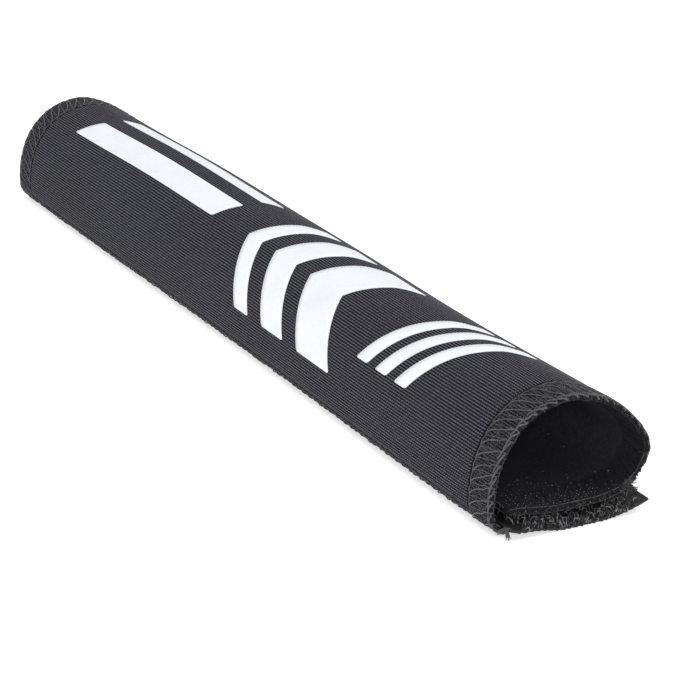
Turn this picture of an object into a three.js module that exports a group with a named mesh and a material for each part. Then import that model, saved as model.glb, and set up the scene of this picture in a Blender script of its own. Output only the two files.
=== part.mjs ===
// A chainstay protector: a neoprene sheet with overlocked edges, rolled up as it lies when it is not on
// a bicycle. A hook tape on one long edge holds a loop tape on the other, and the lap is underneath.
import * as THREE from "three";

// Driving dimensions, in millimetres. X runs along the roll, Y across it, and Z up from what it lies on.
// The sheet, and the oval that it is rolled into. The near end is at -X.
const sheetLength = 210;
const sheetThickness = 2.2;
const rollWidth = 32;
const rollHeight = 22.6;

// The side at +Y: it comes down to a tight fold and turns under by a short toe.
const foldRadius = 4;
const toeLength = 1;
const foldSideFullness = 2.2; // power of the superellipse from the fold up to the crown

// The side at -Y: it bulges, then runs under in an easy curve, and ends in the flap.
const bulgeHeight = 10.5;
const bulgeSideFullness = 1.5; // power of the superellipse from the crown down to the bulge
const underCurveWidth = 12;
const underCurveFullness = 2.2;
const flapSetback = 4; // how far the flap's edge stays back from the side of the fold

// The overlock seam round the sheet: its needle line, and the thread that is looped over the edge.
const seamWidth = 7;
const seamSlope = 1; // width of the slope down into the seam, where the foam is squeezed
const stitchLength = 4;
const needleRun = 0.8; // how far the thread follows the needle line before it turns back
const threadThickness = 0.4;

// The tapes. Rows of hooks run along the hook tape, between two plain margins.
const hookTapeWidth = 30;
const hookTapeOverhang = 3; // how far its cut end stands out of the near end
const hookTapeGrip = 5; // how much of it is sewn to the sheet
const hookTapeCurl = 25; // radius of its free side's curl off the floor
const climbRun = 8; // how far it climbs from the floor onto the sheet's edge, with the flap above it
const hookBackThickness = 0.5;
const hookHeight = 1;
const hookRowPitch = 1.25;
const hookRowWidth = 0.6;
const hookMargin = 2;
const loopTapeWidth = 25;
const loopTapeInset = 1.5; // from the flap's edge
const loopTapeThickness = 0.5;

// Printed fields of white ink, placed on the flat sheet: along from the near end, and round from the crown
// line, positive towards the fold. A bar leans one way, and a chevron leans both ways from its middle.
const inkThickness = 0.2;
const printLean = 0.6; // how far a field runs along the sheet for each millimetre round it
const printLow = -6; // where the short bars and the chevrons begin, round from the crown

// Short bars side by side, nearest to the near end.
const shortBarCount = 3;
const shortBarStart = 19;
const shortBarLength = 4;
const shortBarPitch = 7;
const shortBarHigh = 16;

// Chevrons beyond them, each shorter than the last.
const chevronCount = 3;
const chevronStart = 66;
const chevronLength = 13;
const chevronShrink = 0.7; // each one's length as a share of the last one's
const chevronGap = 6;
const chevronHigh = 22;

// Two long bars at the far end, a wide one above a narrow one.
const longBarStart = 118;
const longBarLength = 70;
const wideBarLow = 3;
const wideBarHigh = 9;
const narrowBarLow = -5;
const narrowBarHigh = -1;
const narrowBarShift = 3; // how much nearer the narrow one begins

// Pieces that touch keep this gap, so that each stays a solid of its own.
const clearance = 0.3;

// Fineness of the curves.
const quarterSteps = 24;
const girthStep = 1.7;
const threadSides = 3;

// The lap is a stack, from the floor up: hook tape, loop tape, flap.
const lapHeight = hookBackThickness + hookHeight + clearance + loopTapeThickness + clearance;
const seamDepth = threadThickness + clearance;

// The middle of the fold, and where the flat of the lap ends on the other side.
const foldY = rollWidth / 2 - foldRadius;
const underY = underCurveWidth - rollWidth / 2;

// A line in the YZ plane, measured by the distance along it and carried on straight past its ends.
class Outline {
  constructor(points) {
    this.points = points.filter((point, i) => i === 0 || point.distanceTo(points[i - 1]) > 1e-6);
    this.distances = [0];
    for (let i = 1; i < this.points.length; i++)
      this.distances.push(this.distances[i - 1] + this.points[i].distanceTo(this.points[i - 1]));
    this.length = this.distances.at(-1);
  }

  // The side that faces right of the way along the line.
  outwardAt(i) {
    const before = this.points[Math.max(i - 1, 0)];
    const after = this.points[Math.min(i + 1, this.points.length - 1)];
    return new THREE.Vector2(after.y - before.y, before.x - after.x).normalize();
  }

  // The point at a distance along the line and a depth behind its outer side.
  at(distance, depth = 0) {
    let i = this.distances.findIndex((reached) => reached > distance) - 1;
    if (i < 0) i = distance < 0 ? 0 : this.points.length - 2;
    const share = (distance - this.distances[i]) / (this.distances[i + 1] - this.distances[i]);
    const blend = THREE.MathUtils.clamp(share, 0, 1);
    const outward = this.outwardAt(i).lerp(this.outwardAt(i + 1), blend).normalize();
    return this.points[i].clone().lerp(this.points[i + 1], share).addScaledVector(outward, -depth);
  }
}

// A quarter of a superellipse, anticlockwise from the start angle; a power of 2 makes a plain ellipse.
function quarter(centreY, centreZ, reachY, reachZ, power, startAngle) {
  const stretched = (value) => Math.sign(value) * Math.abs(value) ** (2 / power);
  return Array.from({ length: quarterSteps + 1 }, (_, i) => {
    const angle = startAngle + (Math.PI / 2) * (i / quarterSteps);
    return new THREE.Vector2(
      centreY + reachY * stretched(Math.cos(angle)),
      centreZ + reachZ * stretched(Math.sin(angle)),
    );
  });
}

// The hook tape's underside where it climbs from the floor to the height of the sheet's inner face.
function climbOutline() {
  const top = new THREE.Vector2(foldY - toeLength - threadThickness - 2 * clearance, sheetThickness + clearance);
  const foot = new THREE.Vector2(top.x - climbRun, 0);
  const bend = new THREE.Vector2(climbRun / 2, 0);
  const curve = new THREE.CubicBezierCurve(foot, foot.clone().add(bend), top.clone().sub(bend), top);
  return new Outline(curve.getPoints(quarterSteps));
}

const climb = climbOutline();

// The outer face of the rolled sheet, from the edge that carries the hook tape to the flap's edge.
function rolledOutline() {
  const side = rollWidth / 2;
  const flap = climb.distances.map((distance) => climb.at(distance, lapHeight));
  return new Outline([
    new THREE.Vector2(foldY - toeLength, 0),
    ...quarter(foldY, foldRadius, foldRadius, foldRadius, 2, -Math.PI / 2),
    ...quarter(0, foldRadius, side, rollHeight - foldRadius, foldSideFullness, 0),
    ...quarter(0, bulgeHeight, side, rollHeight - bulgeHeight, bulgeSideFullness, Math.PI / 2),
    ...quarter(underY, bulgeHeight, underCurveWidth, bulgeHeight - lapHeight, underCurveFullness, Math.PI),
    ...flap,
    new THREE.Vector2(side - flapSetback, flap.at(-1).y),
  ]);
}

const roll = rolledOutline();
const girth = roll.length;
const crownDistance = roll.distances[roll.points.findIndex((point) => point.y > rollHeight - 1e-6)];

// A point of the rolled sheet: along it from the near end, round it, and down into it from its outer face.
function onSheet(along, round, depth) {
  const point = roll.at(round, depth);
  return new THREE.Vector3(along - sheetLength / 2, point.x, point.y);
}

// A closed skin over rings of points that have equally many points each, with a strip over both ends.
function loft(rings) {
  const size = rings[0].length;
  const faces = [];
  for (let ring = 0; ring + 1 < rings.length; ring++)
    for (let i = 0; i < size; i++) {
      const [a, b] = [ring * size + i, ring * size + ((i + 1) % size)];
      faces.push(a, a + size, b, b, a + size, b + size);
    }
  const last = (rings.length - 1) * size;
  for (let low = 0, high = size - 1; low + 1 < high; low++, high--) {
    faces.push(low, low + 1, high, last + low, last + high, last + low + 1);
    if (low + 2 < high)
      faces.push(low + 1, high - 1, high, last + low + 1, last + high, last + high - 1);
  }
  return new THREE.BufferGeometry().setFromPoints(rings.flat()).setIndex(faces);
}

// A strap that lies along X: pairs of points across it give its lower and its upper side in the YZ plane.
function strap(pairs, from, to) {
  return loft(
    pairs.map(([low, high]) => [
      new THREE.Vector3(from, low.x, low.y),
      new THREE.Vector3(to, low.x, low.y),
      new THREE.Vector3(to, high.x, high.y),
      new THREE.Vector3(from, high.x, high.y),
    ]),
  );
}

// Evenly spaced places over a span, with the two sides of the seam's slope marked at each end.
function seamMarks(span, step) {
  const ends = [0, seamWidth, seamWidth + seamSlope];
  const inner = span - 2 * (seamWidth + seamSlope);
  const steps = Math.max(1, Math.round(inner / step));
  const seamSteps = Math.max(1, Math.round(seamWidth / step));
  const first = Array.from({ length: seamSteps }, (_, i) => (seamWidth * i) / seamSteps);
  const middle = Array.from({ length: steps - 1 }, (_, i) => ends[2] + (inner * (i + 1)) / steps);
  const start = [...first, ends[1], ends[2]];
  return [...start, ...middle, ...start.map((mark) => span - mark).reverse()];
}

// The neoprene sheet: foam that is squeezed thin under the overlock thread all round.
function neopreneSheet() {
  const rings = seamMarks(girth, girthStep).map((round) => {
    const stations = seamMarks(sheetLength, sheetLength).map((along) => {
      const edge = Math.min(round, girth - round, along, sheetLength - along);
      const share = THREE.MathUtils.clamp((seamWidth + seamSlope - edge) / seamSlope, 0, 1);
      return { along, sunk: seamDepth * share };
    });
    const outer = stations.map(({ along, sunk }) => onSheet(along, round, sunk));
    const inner = stations.map(({ along, sunk }) => onSheet(along, round, sheetThickness - sunk));
    return [...outer, ...inner.reverse()];
  });
  return loft(rings);
}

// A thread with a few flat sides that follows a bent path, with a mitre at every bend.
function thread(path) {
  const heading = (i) => path[i + 1].clone().sub(path[i]).normalize();
  const first = heading(0);
  const across = new THREE.Vector3(0, 0, 1).cross(first);
  if (across.lengthSq() < 0.01) across.set(1, 0, 0).cross(first);
  let spokes = Array.from({ length: threadSides }, (_, i) =>
    across.clone().setLength(threadThickness / 2).applyAxisAngle(first, (-2 * Math.PI * i) / threadSides),
  );
  const rings = path.map((point, i) => {
    const before = heading(Math.max(i - 1, 0));
    const after = heading(Math.min(i, path.length - 2));
    const mitre = before.clone().add(after).normalize();
    const corner = spokes.map((spoke) =>
      spoke.clone().addScaledVector(before, -spoke.dot(mitre) / before.dot(mitre)),
    );
    spokes = corner.map((spoke) => spoke.clone().addScaledVector(after, -spoke.dot(after)));
    return corner.map((spoke) => spoke.add(point));
  });
  return loft(rings);
}

// One overlocked edge: a thread laid to and fro between the needle line and the edge, on both faces in turn.
// A place on the seam is given by the distance along the edge, inwards from it, and down from the outer face.
// A seam that lies in a bend has its thread bent in as many steps on the way across.
function overlock(edgeLength, bendSteps, onSeam) {
  const half = threadThickness / 2;
  const [needle, edge] = [seamWidth - clearance - half, -clearance - half];
  const [top, under] = [half, sheetThickness - half];
  const turn = needleRun / 2;
  const leg = stitchLength / 4;
  const stitch = [
    [-turn, needle, top],
    [turn, needle, top],
    [leg, edge, top],
    [leg, edge, under],
    [2 * leg - turn, needle, under],
    [2 * leg + turn, needle, under],
    [3 * leg, edge, under],
    [3 * leg, edge, top],
  ];
  const stitches = Math.floor((edgeLength - needleRun) / stitchLength);
  const start = (edgeLength - stitches * stitchLength) / 2;
  const corners = [];
  for (let i = 0; i < stitches; i++)
    for (const [along, ...place] of stitch) corners.push([start + i * stitchLength + along, ...place]);
  const path = [onSeam(...corners[0])];
  for (let i = 1; i < corners.length; i++) {
    const [last, next] = [corners[i - 1], corners[i]];
    const steps = last[1] === next[1] ? 1 : bendSteps;
    for (let step = 1; step <= steps; step++)
      path.push(onSeam(...next.map((value, k) => THREE.MathUtils.lerp(last[k], value, step / steps))));
  }
  return thread(path);
}

// The hook tape's underside: its free side's curl, the flat on the floor, the climb, and the margin that is
// sewn to the sheet's inner face.
function hookTapeLine() {
  const curl = Array.from({ length: quarterSteps + 1 }, (_, i) => {
    const angle = (hookTapeWidth / hookTapeCurl) * (1 - i / quarterSteps);
    return new THREE.Vector2(underY - hookTapeCurl * Math.sin(angle), hookTapeCurl * (1 - Math.cos(angle)));
  });
  const gripSteps = 6;
  const grip = Array.from({ length: gripSteps + 1 }, (_, i) =>
    roll.at((hookTapeGrip * i) / gripSteps, sheetThickness + clearance),
  );
  return new Outline([...curl, ...climb.points, ...grip]);
}

// The hook tape: a woven back with a rib for each row of hooks, as far as the margin that is sewn on.
function hookTape() {
  const line = hookTapeLine();
  const tip = line.length - hookTapeWidth;
  const marginStart = line.length - hookTapeGrip;
  const rowRise = [[-1, 0], [-0.7, hookHeight], [0.7, hookHeight], [1, 0]];
  const stations = [[tip, 0]];
  for (let row = tip + hookMargin; row <= marginStart - hookMargin; row += hookRowPitch)
    stations.push(...rowRise.map(([aside, up]) => [row + (aside * hookRowWidth) / 2, up]));
  const margin = line.distances.filter((distance) => distance > marginStart - hookRowWidth);
  stations.push(...margin.map((distance) => [distance, 0]));
  const pairs = stations.map(([distance, up]) => [
    line.at(distance),
    line.at(distance, hookBackThickness + up),
  ]);
  return strap(pairs, -sheetLength / 2 - hookTapeOverhang, sheetLength / 2);
}

// The loop tape, on the outer face of the flap and of the curve that leads to it.
function loopTape() {
  const start = girth - loopTapeInset - loopTapeWidth;
  const steps = Math.round(loopTapeWidth / girthStep);
  const pairs = Array.from({ length: steps + 1 }, (_, i) => {
    const round = start + (loopTapeWidth * i) / steps;
    return [roll.at(round, -clearance - loopTapeThickness), roll.at(round, -clearance)];
  });
  return strap(pairs, -sheetLength / 2, sheetLength / 2);
}

// A field of ink on the outer face; lean gives how far along it starts at each place round the sheet.
function inkField({ along, length, from, to }, lean) {
  const steps = 2 * Math.max(1, Math.round((to - from) / (2 * girthStep)));
  const rings = Array.from({ length: steps + 1 }, (_, i) => {
    const round = from + ((to - from) * i) / steps;
    const start = along + lean(round);
    return [
      [start, -clearance - inkThickness],
      [start + length, -clearance - inkThickness],
      [start + length, -clearance],
      [start, -clearance],
    ].map(([place, depth]) => onSheet(place, crownDistance - round, depth));
  });
  return loft(rings.reverse());
}

const materials = {
  neoprene: new THREE.MeshStandardMaterial({ color: 0x434248, roughness: 0.9, metalness: 0 }),
  thread: new THREE.MeshStandardMaterial({ color: 0x2c2c30, roughness: 0.7, metalness: 0 }),
  hooks: new THREE.MeshStandardMaterial({ color: 0x1a1a1d, roughness: 0.5, metalness: 0 }),
  loops: new THREE.MeshStandardMaterial({ color: 0x202024, roughness: 1, metalness: 0 }),
  ink: new THREE.MeshStandardMaterial({ color: 0xf5f8fd, roughness: 0.6, metalness: 0 }),
};

function piece(name, geometry, material) {
  const mesh = new THREE.Mesh(geometry, material);
  mesh.name = name;
  return mesh;
}

// The overlock on the two ends runs the whole way round, and that on the long edges runs between them.
function overlockedEdges() {
  const long = sheetLength - 2 * (seamWidth + clearance);
  const from = seamWidth + clearance;
  const round = girth - 2 * clearance;
  const bendSteps = Math.ceil((2 * seamWidth) / foldRadius) - 1;
  const nearEnd = (along, inward, depth) => onSheet(inward, along + clearance, depth);
  const farEnd = (along, inward, depth) => onSheet(sheetLength - inward, along + clearance, depth);
  const hookEdge = (along, inward, depth) => onSheet(from + along, inward, depth);
  const flapEdge = (along, inward, depth) => onSheet(from + along, girth - inward, depth);
  return [
    piece("overlock_near_end", overlock(round, 1, nearEnd), materials.thread),
    piece("overlock_far_end", overlock(round, 1, farEnd), materials.thread),
    piece("overlock_hook_edge", overlock(long, bendSteps, hookEdge), materials.thread),
    piece("overlock_flap_edge", overlock(long, bendSteps, flapEdge), materials.thread),
  ];
}

function barFields() {
  const short = Array.from({ length: shortBarCount }, (_, i) => ({
    along: shortBarStart + i * shortBarPitch,
    length: shortBarLength,
    from: printLow,
    to: shortBarHigh,
  }));
  const long = { along: longBarStart, length: longBarLength };
  return [
    ...short,
    { ...long, from: wideBarLow, to: wideBarHigh },
    { ...long, along: longBarStart - narrowBarShift, from: narrowBarLow, to: narrowBarHigh },
  ];
}

function chevronFields() {
  const fields = [];
  for (let along = chevronStart, length = chevronLength; fields.length < chevronCount; ) {
    fields.push({ along, length, from: printLow, to: chevronHigh });
    along += length + chevronGap;
    length *= chevronShrink;
  }
  return fields;
}

function printedFields() {
  const bars = barFields().map((field, i) =>
    piece(`print_bar_${i + 1}`, inkField(field, (round) => printLean * (round - field.from)), materials.ink),
  );
  const chevrons = chevronFields().map((field, i) => {
    const middle = (field.from + field.to) / 2;
    const lean = (round) => -printLean * Math.abs(round - middle);
    return piece(`print_chevron_${i + 1}`, inkField(field, lean), materials.ink);
  });
  return [...bars, ...chevrons];
}

const protector = new THREE.Group();
protector.add(
  piece("neoprene_sheet", neopreneSheet(), materials.neoprene),
  piece("hook_tape", hookTape(), materials.hooks),
  piece("loop_tape", loopTape(), materials.loops),
  ...overlockedEdges(),
  ...printedFields(),
);

// The origin is under the middle of the whole part, on the surface that it lies on.
const box = new THREE.Box3().setFromObject(protector);
const middle = box.getCenter(new THREE.Vector3());
protector.position.set(-middle.x, -middle.y, -box.min.z);

export default protector;
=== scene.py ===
import math

import bpy
import numpy as np
from mathutils import Matrix, Vector


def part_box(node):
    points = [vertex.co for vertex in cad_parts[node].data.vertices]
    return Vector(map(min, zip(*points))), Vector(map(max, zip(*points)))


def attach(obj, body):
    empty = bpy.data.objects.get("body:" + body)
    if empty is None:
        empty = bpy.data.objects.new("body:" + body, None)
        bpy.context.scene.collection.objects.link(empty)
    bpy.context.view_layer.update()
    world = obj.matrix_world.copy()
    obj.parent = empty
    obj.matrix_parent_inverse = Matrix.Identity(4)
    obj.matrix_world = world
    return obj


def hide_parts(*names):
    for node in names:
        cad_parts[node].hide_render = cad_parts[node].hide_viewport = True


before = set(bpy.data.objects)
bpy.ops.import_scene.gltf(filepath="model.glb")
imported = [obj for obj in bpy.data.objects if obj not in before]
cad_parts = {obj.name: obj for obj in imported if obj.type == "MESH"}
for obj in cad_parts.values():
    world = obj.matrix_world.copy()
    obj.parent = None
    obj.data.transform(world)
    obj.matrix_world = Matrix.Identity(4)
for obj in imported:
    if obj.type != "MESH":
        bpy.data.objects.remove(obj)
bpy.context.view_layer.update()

rng = np.random.default_rng(7)

# Lengths are in millimetres unless a comment says metres, and a mesh's points become metres as it is built.
MM = 0.001
FLOOR_CLEARANCE = 0.02
LINE_STEP = 0.05

# The rolled sheet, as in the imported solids, with its thin sewn edges let down to what they lie on.
ROLL_WIDTH = 32.0
ROLL_HEIGHT = 22.5
SIDE = ROLL_WIDTH / 2
SHEET_THICKNESS = 2.2
SECTION_EASE = 1.6
FOLD_RADIUS = 4.0
FOLD_SIDE_FULLNESS = 2.2
TOE_LENGTH = 2.0
TOE_DIP = 0.1
BULGE_HEIGHT = 10.5
BULGE_SIDE_FULLNESS = 1.5
UNDER_CURVE_WIDTH = 12.0
UNDER_CURVE_FULLNESS = 2.2
FLAP_REACH = 12.2
FLAP_CLIMB = 1.1
FLAP_CLIMB_START = 2.0

# The lap, from the floor up: the hook tape's back, its hooks in the loops, the loop tape, the flap.
HOOK_BACK = 0.4
HOOK_HEIGHT = 1.25
FREE_HOOK_HEIGHT = 1.3
LOOP_BACK = 0.42
LAP_HEIGHT = 2.15

# The jersey's ribs, and the stitches along each rib, which shift from rib to rib.
RIB_PITCH = 0.54
RIB_RISE = 0.07
POINTS_TO_A_RIB = 4
KNIT_PITCH = 0.62
KNIT_SHIFT = 2.4

# The overlock seam: its width at the sheet's ends, the long edges' shares of that, and its thread. Round an
# end, the seam passes under the lap at UNDER_FLAP.
SEAM_WIDTH = 6.3
HOOK_SEAM_SHARE = 1.05
FLAP_SEAM_SHARE = 0.7
STITCH = 2.15
THREAD_RADIUS = 0.12
UNDER_FLAP = 62.0
# How far the seam presses in the outer and the inner face, at distances from the sheet's edge.
PRESS_AT = [0.0, 0.6, 3.0, 5.6, 6.3, 7.1, 9.0, 11.5]
OUTER_PRESS = [0.26, 0.14, 0.10, 0.12, 0.30, 0.05, 0.0, 0.0]
INNER_PRESS = [1.22, 1.15, 0.95, 0.80, 0.80, 0.55, 0.2, 0.0]
PUCKER_REACH = 9.0
PUCKER_DEPTH = 0.05
# What is left of the sheet at its edge, and the way round it.
EDGE_THICKNESS = SHEET_THICKNESS - OUTER_PRESS[0] - INNER_PRESS[0]
WRAP = math.pi * EDGE_THICKNESS / 2
LIP_THREAD_RADIUS = 0.07
# How far a stitch, and each knot of it, strays along the seam, over it and up.
STITCH_PLAY = [0.10, 0.0, 0.0]
KNOT_PLAY = [0.06, 0.08, 0.02]

# The tapes, and the rows of lockstitches that sew them on.
HOOK_TAPE_WIDTH = 28.3
HOOK_TAPE_OVERHANG = 3.0
HOOK_TAPE_GRIP = 5.0
HOOK_TAPE_CURL = 30.0
TAPE_CLIMB_RUN = 7.0
TAPE_EASE = 0.8
TAPE_SETBACK = 0.6
TAPE_GAP = 0.1
WARP_PITCH = 0.34
WEFT_PITCH = 0.42
LOOP_TAPE_WIDTH = 25.0
LOOP_TAPE_INSET = 1.5
SEWING_STITCH = 2.5
SEWING_RADIUS = 0.09
SEWING_INSET = 1.8
# The undersides of the loop tape and the print lie this far over the outer face's middle height, so between
# the crests and the grooves of its ribs.
LAID_OVER = 0.02

# The hooks: their shape, their field across the tape, how far its fine parts reach from each end, and the
# pitches. The stem is a share of a hook's path, and the bow's radius is a share of its height.
HOOK_RADIUS = 0.055
HOOK_STEM = 0.45
HOOK_BOW = 0.43
HOOK_TURN = 1.25 * math.pi
HOOK_SINK = 0.05
HOOKS_FROM = 2.8
HOOKS_TO = HOOK_TAPE_WIDTH - 2.2
MOUTH_HOOKS = 3.0
NEAR_HOOKS = 12.0
FAR_HOOKS = 9.0
MOUTH_PITCH = 1.02
HOOK_PITCH = 1.3
HIDDEN_HOOK_PITCH = 1.5
CUT_HOOK_PITCH = 0.8

# Loose fibres, the knots on the flap's inner face, and the three specks of lint inside the near end, each
# at its distance from that end and round the section.
LOWEST_ROOT = 0.15
FUZZ_RADIUS = 0.035
KNOTS_FROM = 66
KNOT_RADIUS = 0.07
LINT_RADIUS = 0.12
LINT_PLACES = [(22.5, 66.2), (16.7, 66.8), (4.9, 65.3)]

# The print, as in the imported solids. Each field starts so far along the sheet and is so long, and lies
# between two distances from the crown line, positive towards the fold.
PRINT_LEAN = 0.6
PRINT_FILM = 0.05
PRINT_CORNER = 0.5
BARS = [(19, 4, -6, 16), (26, 4, -6, 16), (33, 4, -6, 16), (118, 70, 3, 9), (115, 70, -5, -1)]
CHEVRONS = [(66, 13, -6, 22), (85, 9, -6, 22), (100, 6, -6, 22)]

# The photo's camera, in the roll's own frame, and its focal length in the photo's pixels.
CAMERA_PLACE = (-328.4, 219.1, 179.1)
CAMERA_AIM = (0.82307, -0.44379, -0.35441)
CAMERA_UP = (0.31613, -0.16044, 0.93505)
FOCAL_PIXELS = 2569.9
PHOTO_PIXELS = 700.0
SENSOR = 36.0

# The light that the white world gives to surfaces. The camera, gloss and glass see it at full strength.
WORLD_LIGHT = 0.45
# In metres: the floor's reach each way, the front light's distance behind the camera, and its aim, which
# the side light shares.
FLOOR_REACH = 3.0
FRONT_LIGHT_BACK = 0.8
NEAR_MIDDLE = (-0.08, 0, 0.01)

sheet_low, sheet_high = (np.array(corner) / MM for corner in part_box("neoprene_sheet"))
SHEET_LENGTH = sheet_high[0] - sheet_low[0]
# Where the roll's own frame lies in the row frame: its near end, its middle, and the floor.
PLACE = np.array([sheet_low[0], sheet_high[1] - SIDE, 0.0])


# The section of the roll

def quarter(centre, reach, power, start):
    """A quarter of a superellipse, anticlockwise from the start angle."""
    angle = start + np.linspace(0, math.pi / 2, 90)
    turn = np.stack([np.cos(angle), np.sin(angle)], axis=1)
    return np.array(centre) + np.array(reach) * np.sign(turn) * np.abs(turn) ** (2 / power)


def evenly(points, step):
    """The line again, with points the same step apart, and the distance to each."""
    gaps = np.linalg.norm(np.diff(points, axis=0), axis=1)
    keep = np.concatenate([[True], gaps > 1e-9])
    points = points[keep]
    along = np.concatenate([[0], np.cumsum(np.linalg.norm(np.diff(points, axis=0), axis=1))])
    at = np.linspace(0, along[-1], int(along[-1] / step) + 1)
    return np.stack([np.interp(at, along, points[:, k]) for k in (0, 1)], axis=1), at


def softened(points, reach):
    """The line with its bends eased over a few points each way, and its ends left where they are."""
    kernel = np.hanning(2 * reach + 1)
    kernel /= kernel.sum()
    ahead = 2 * points[0] - points[reach:0:-1]
    after = 2 * points[-1] - points[-2:-reach - 2:-1]
    padded = np.concatenate([ahead, points, after])
    return np.stack([np.convolve(padded[:, k], kernel, "valid") for k in (0, 1)], axis=1)


class Line:
    """A line in the YZ plane with an outward side, carried on straight past its ends."""

    def __init__(self, points, ease):
        points, _ = evenly(np.asarray(points, float), LINE_STEP)
        self.points, self.along = evenly(softened(points, int(ease / LINE_STEP)), LINE_STEP)
        way = np.gradient(self.points, axis=0)
        way /= np.linalg.norm(way, axis=1, keepdims=True)
        self.way = way
        self.outward = np.stack([way[:, 1], -way[:, 0]], axis=1)
        self.length = self.along[-1]

    def read(self, values, distance):
        """The values given for the line's points, read off at distances along it."""
        return np.stack([np.interp(distance, self.along, values[:, k]) for k in (0, 1)], axis=-1)

    def at(self, distance, depth):
        """Points at distances along the line, so far inwards from it."""
        distance = np.asarray(distance, float)
        over = distance - np.clip(distance, 0, self.length)
        point = self.read(self.points, distance) + over[..., None] * self.read(self.way, distance)
        return point - np.asarray(depth)[..., None] * self.read(self.outward, distance)


def eased(share):
    """A smooth step from 0 to 1."""
    share = np.clip(share, 0, 1)
    return share * share * (3 - 2 * share)


def rolled_section():
    """The sheet's outer face in section: from the toe under the fold, up over the crown, down round the
    bulge, and along the flap."""
    fold_y = SIDE - FOLD_RADIUS
    flap_y = np.linspace(FLAP_CLIMB_START, FLAP_REACH, 40)
    climb = eased((flap_y - FLAP_CLIMB_START) / (FLAP_REACH - FLAP_CLIMB_START))
    return Line(np.concatenate([
        [[fold_y - TOE_LENGTH, -TOE_DIP]],
        quarter((fold_y, FOLD_RADIUS), (FOLD_RADIUS, FOLD_RADIUS + TOE_DIP), 2, -math.pi / 2),
        quarter((0, FOLD_RADIUS), (SIDE, ROLL_HEIGHT - FOLD_RADIUS), FOLD_SIDE_FULLNESS, 0),
        quarter((0, BULGE_HEIGHT), (SIDE, ROLL_HEIGHT - BULGE_HEIGHT), BULGE_SIDE_FULLNESS, math.pi / 2),
        quarter((UNDER_CURVE_WIDTH - SIDE, BULGE_HEIGHT), (UNDER_CURVE_WIDTH, BULGE_HEIGHT - LAP_HEIGHT),
                UNDER_CURVE_FULLNESS, math.pi),
        np.stack([flap_y, LAP_HEIGHT + FLAP_CLIMB * climb], axis=1),
    ]), SECTION_EASE)


ROLL = rolled_section()
GIRTH = ROLL.length
CROWN = ROLL.along[ROLL.points[:, 1].argmax()]
# The loop tape's two sides, round the section.
LOOPS_FROM = GIRTH - LOOP_TAPE_INSET - LOOP_TAPE_WIDTH
LOOPS_TO = GIRTH - LOOP_TAPE_INSET


def settled(points):
    """The soft roll's slow unevenness along its length, the same for every piece of it: waves of sway and
    sag, the fold's own wave, and the near end's shoulder and tuck."""
    x, y, z = points[..., 0], points[..., 1], points[..., 2]
    up = np.clip(z / ROLL_HEIGHT, 0, 1)
    at_end = np.exp(-np.clip(x + HOOK_TAPE_OVERHANG, 0, None) / 12)
    sway = 0.35 * np.sin(x / 31 + 0.6) * up ** 2
    sag = up ** 2 * (0.25 * np.sin(x / 23 + 1.9) + 0.15 * np.sin(x / 11))
    fold = np.clip(y / SIDE, 0, 1) * (-0.12 - 0.3 * np.sin((x - 50) / 28.6) - 0.3 * at_end)
    shoulder = 0.8 * at_end * np.exp(-((y + 8) / 5) ** 2) * eased((z - 8) / 6)
    tuck = 0.5 * at_end * np.exp(-((z - 7) / 3.5) ** 2) * np.clip(-y / SIDE, 0, 1)
    return np.stack([x, y + sway + fold + tuck, z + sag + shoulder], axis=-1)


def on_line(line, x, distance, depth):
    """Points so far along the roll from its near end, along a line of its section, and in from that line."""
    x, distance, depth = np.broadcast_arrays(np.asarray(x, float), distance, depth)
    flat = line.at(distance, depth)
    return settled(np.stack([x, flat[..., 0], flat[..., 1]], axis=-1))


def on_roll(x, s, depth):
    """Points of the sheet: along from the near end, round the section, and down into it."""
    return on_line(ROLL, x, s, depth)


# Meshes

def in_scene(name, data):
    """A new object in the scene."""
    obj = bpy.data.objects.new(name, data)
    bpy.context.scene.collection.objects.link(obj)
    return obj


def mesh_piece(name, points, faces, uv=None):
    """A smooth mesh from points in the roll's own frame. What would reach into the floor lies on it."""
    mesh = bpy.data.meshes.new(name)
    points = np.array(points, float).reshape(-1, 3)
    points[:, 2] = np.maximum(points[:, 2], FLOOR_CLEARANCE)
    points = (points + PLACE) * MM
    mesh.from_pydata(points.tolist(), [], [list(map(int, face)) for face in faces])
    if uv is not None:
        layer = mesh.uv_layers.new(name="flat")
        corner = np.zeros(len(mesh.loops), np.int32)
        mesh.loops.foreach_get("vertex_index", corner)
        layer.data.foreach_set("uv", np.asarray(uv, np.float32).reshape(-1, 2)[corner].ravel())
    mesh.polygons.foreach_set("use_smooth", [True] * len(mesh.polygons))
    mesh.update()
    return in_scene(name, mesh)


def grid_faces(rows, columns, first=0, turned=False):
    """The quads of a grid of points, row by row."""
    i = first + np.arange(rows - 1)[:, None] * columns + np.arange(columns - 1)[None, :]
    quads = np.stack([i, i + 1, i + columns + 1, i + columns], axis=-1).reshape(-1, 4)
    return quads[:, ::-1] if turned else quads


def rim_of(rows, columns):
    """The indices round a grid's border, in order."""
    top = np.arange(columns)
    right = np.arange(1, rows) * columns + columns - 1
    bottom = (rows - 1) * columns + np.arange(columns - 2, -1, -1)
    left = np.arange(rows - 2, 0, -1) * columns
    return np.concatenate([top, right, bottom, left])


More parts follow.
